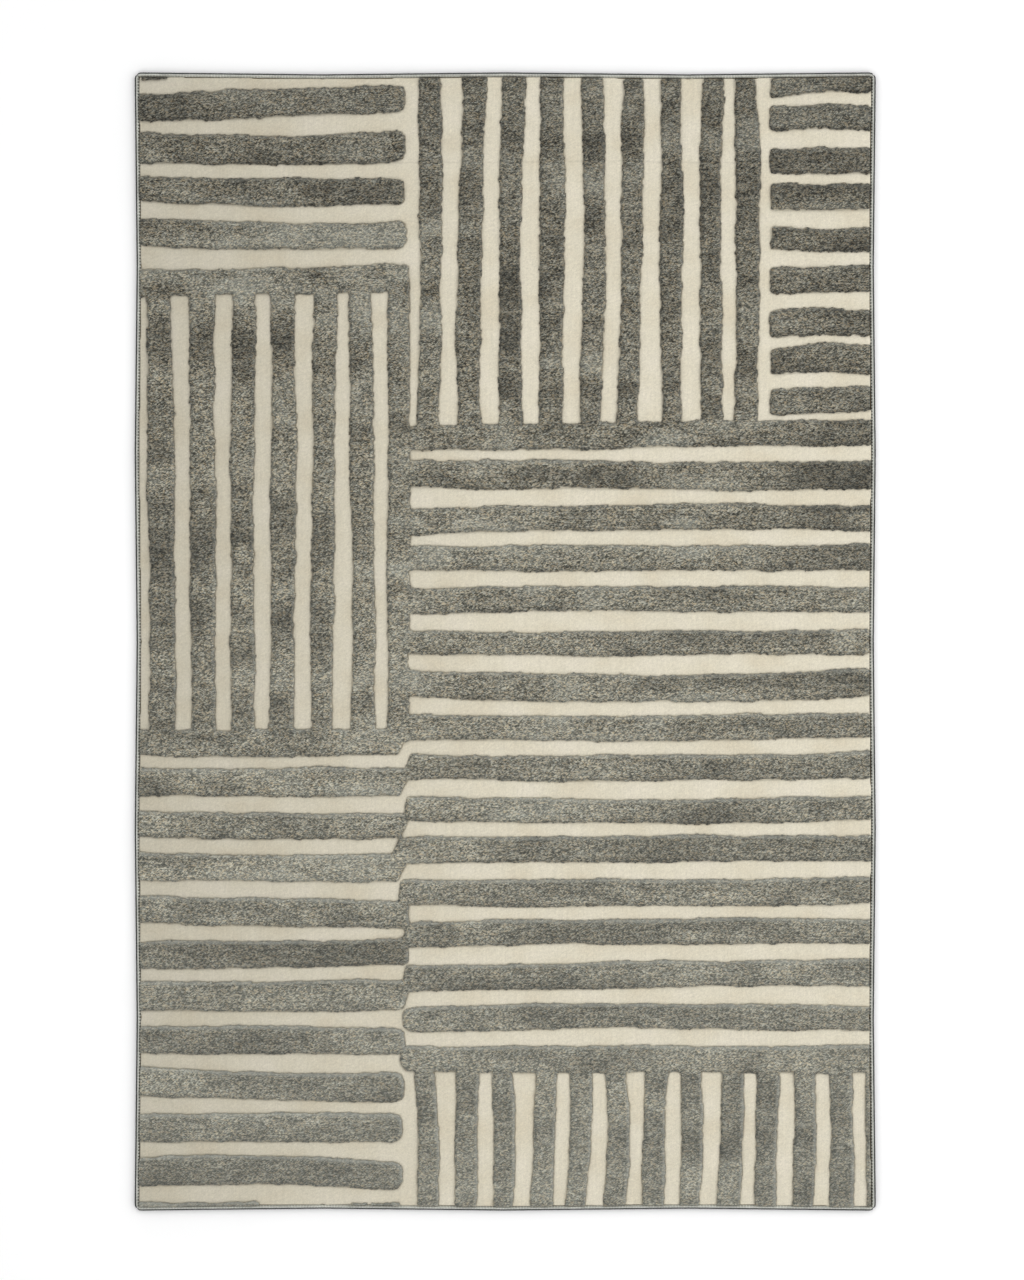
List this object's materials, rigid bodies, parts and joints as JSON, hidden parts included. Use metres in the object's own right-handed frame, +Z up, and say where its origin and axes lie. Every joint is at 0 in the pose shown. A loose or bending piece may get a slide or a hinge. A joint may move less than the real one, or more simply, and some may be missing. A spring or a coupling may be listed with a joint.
{
  "type": "area rug",
  "caption": "Rectangular woven area rug with a low cream pile, raised dark heather stripes in blocks that run across and along it, and a narrow serged edge on every side.",
  "frame": {"origin": "on the floor, under the middle of the rug's underside", "axes": "+X across the rug to its right side seen from above, +Y along the rug to its head, +Z up through the pile"},
  "size_m": [1.524, 2.34, 0.012],
  "materials": {
    "latex_coat": "dull cured latex, pale tan",
    "woven_backing": "plain open weave of jute and polyester, tan",
    "cream_pile": "low dense velvety pile, warm cream",
    "dark_pile": "raised brushed heather pile, grey with beige flecks",
    "edge_yarn": "close-wound overlock yarn, grey"
  },
  "bodies": {
    "root": {"cream_pile": "cream_pile", "dark_pile_bottom_left_1": "dark_pile", "dark_pile_bottom_left_10": "dark_pile", "dark_pile_bottom_left_2": "dark_pile", "dark_pile_bottom_left_3": "dark_pile", "dark_pile_bottom_left_4": "dark_pile", "dark_pile_bottom_left_5": "dark_pile", "dark_pile_bottom_left_6": "dark_pile", "dark_pile_bottom_left_7": "dark_pile", "dark_pile_bottom_left_8": "dark_pile", "dark_pile_bottom_left_9": "dark_pile", "dark_pile_foot_comb": "dark_pile", "dark_pile_left_comb": "dark_pile", "dark_pile_right_1": "dark_pile", "dark_pile_right_10": "dark_pile", "dark_pile_right_11": "dark_pile", "dark_pile_right_12": "dark_pile", "dark_pile_right_13": "dark_pile", "dark_pile_right_14": "dark_pile", "dark_pile_right_15": "dark_pile", "dark_pile_right_2": "dark_pile", "dark_pile_right_3": "dark_pile", "dark_pile_right_4": "dark_pile", "dark_pile_right_5": "dark_pile", "dark_pile_right_6": "dark_pile", "dark_pile_right_7": "dark_pile", "dark_pile_right_8": "dark_pile", "dark_pile_right_9": "dark_pile", "dark_pile_top_left_1": "dark_pile", "dark_pile_top_left_2": "dark_pile", "dark_pile_top_left_3": "dark_pile", "dark_pile_top_left_4": "dark_pile", "dark_pile_top_middle_1": "dark_pile", "dark_pile_top_middle_2": "dark_pile", "dark_pile_top_middle_3": "dark_pile", "dark_pile_top_middle_4": "dark_pile", "dark_pile_top_middle_5": "dark_pile", "dark_pile_top_middle_6": "dark_pile", "dark_pile_top_middle_7": "dark_pile", "dark_pile_top_middle_8": "dark_pile", "dark_pile_top_middle_9": "dark_pile", "dark_pile_top_right_1": "dark_pile", "dark_pile_top_right_2": "dark_pile", "dark_pile_top_right_3": "dark_pile", "dark_pile_top_right_4": "dark_pile", "dark_pile_top_right_5": "dark_pile", "dark_pile_top_right_6": "dark_pile", "dark_pile_top_right_7": "dark_pile", "dark_pile_top_right_8": "dark_pile", "dark_pile_top_right_9": "dark_pile", "dark_sliver_foot_left": "dark_pile", "dark_sliver_foot_middle": "dark_pile", "dark_sliver_head": "dark_pile", "edge_foot": "edge_yarn", "edge_head": "edge_yarn", "edge_left": "edge_yarn", "edge_right": "edge_yarn", "latex_coat": "latex_coat", "woven_backing": "woven_backing"}
  },
  "joints": []
}
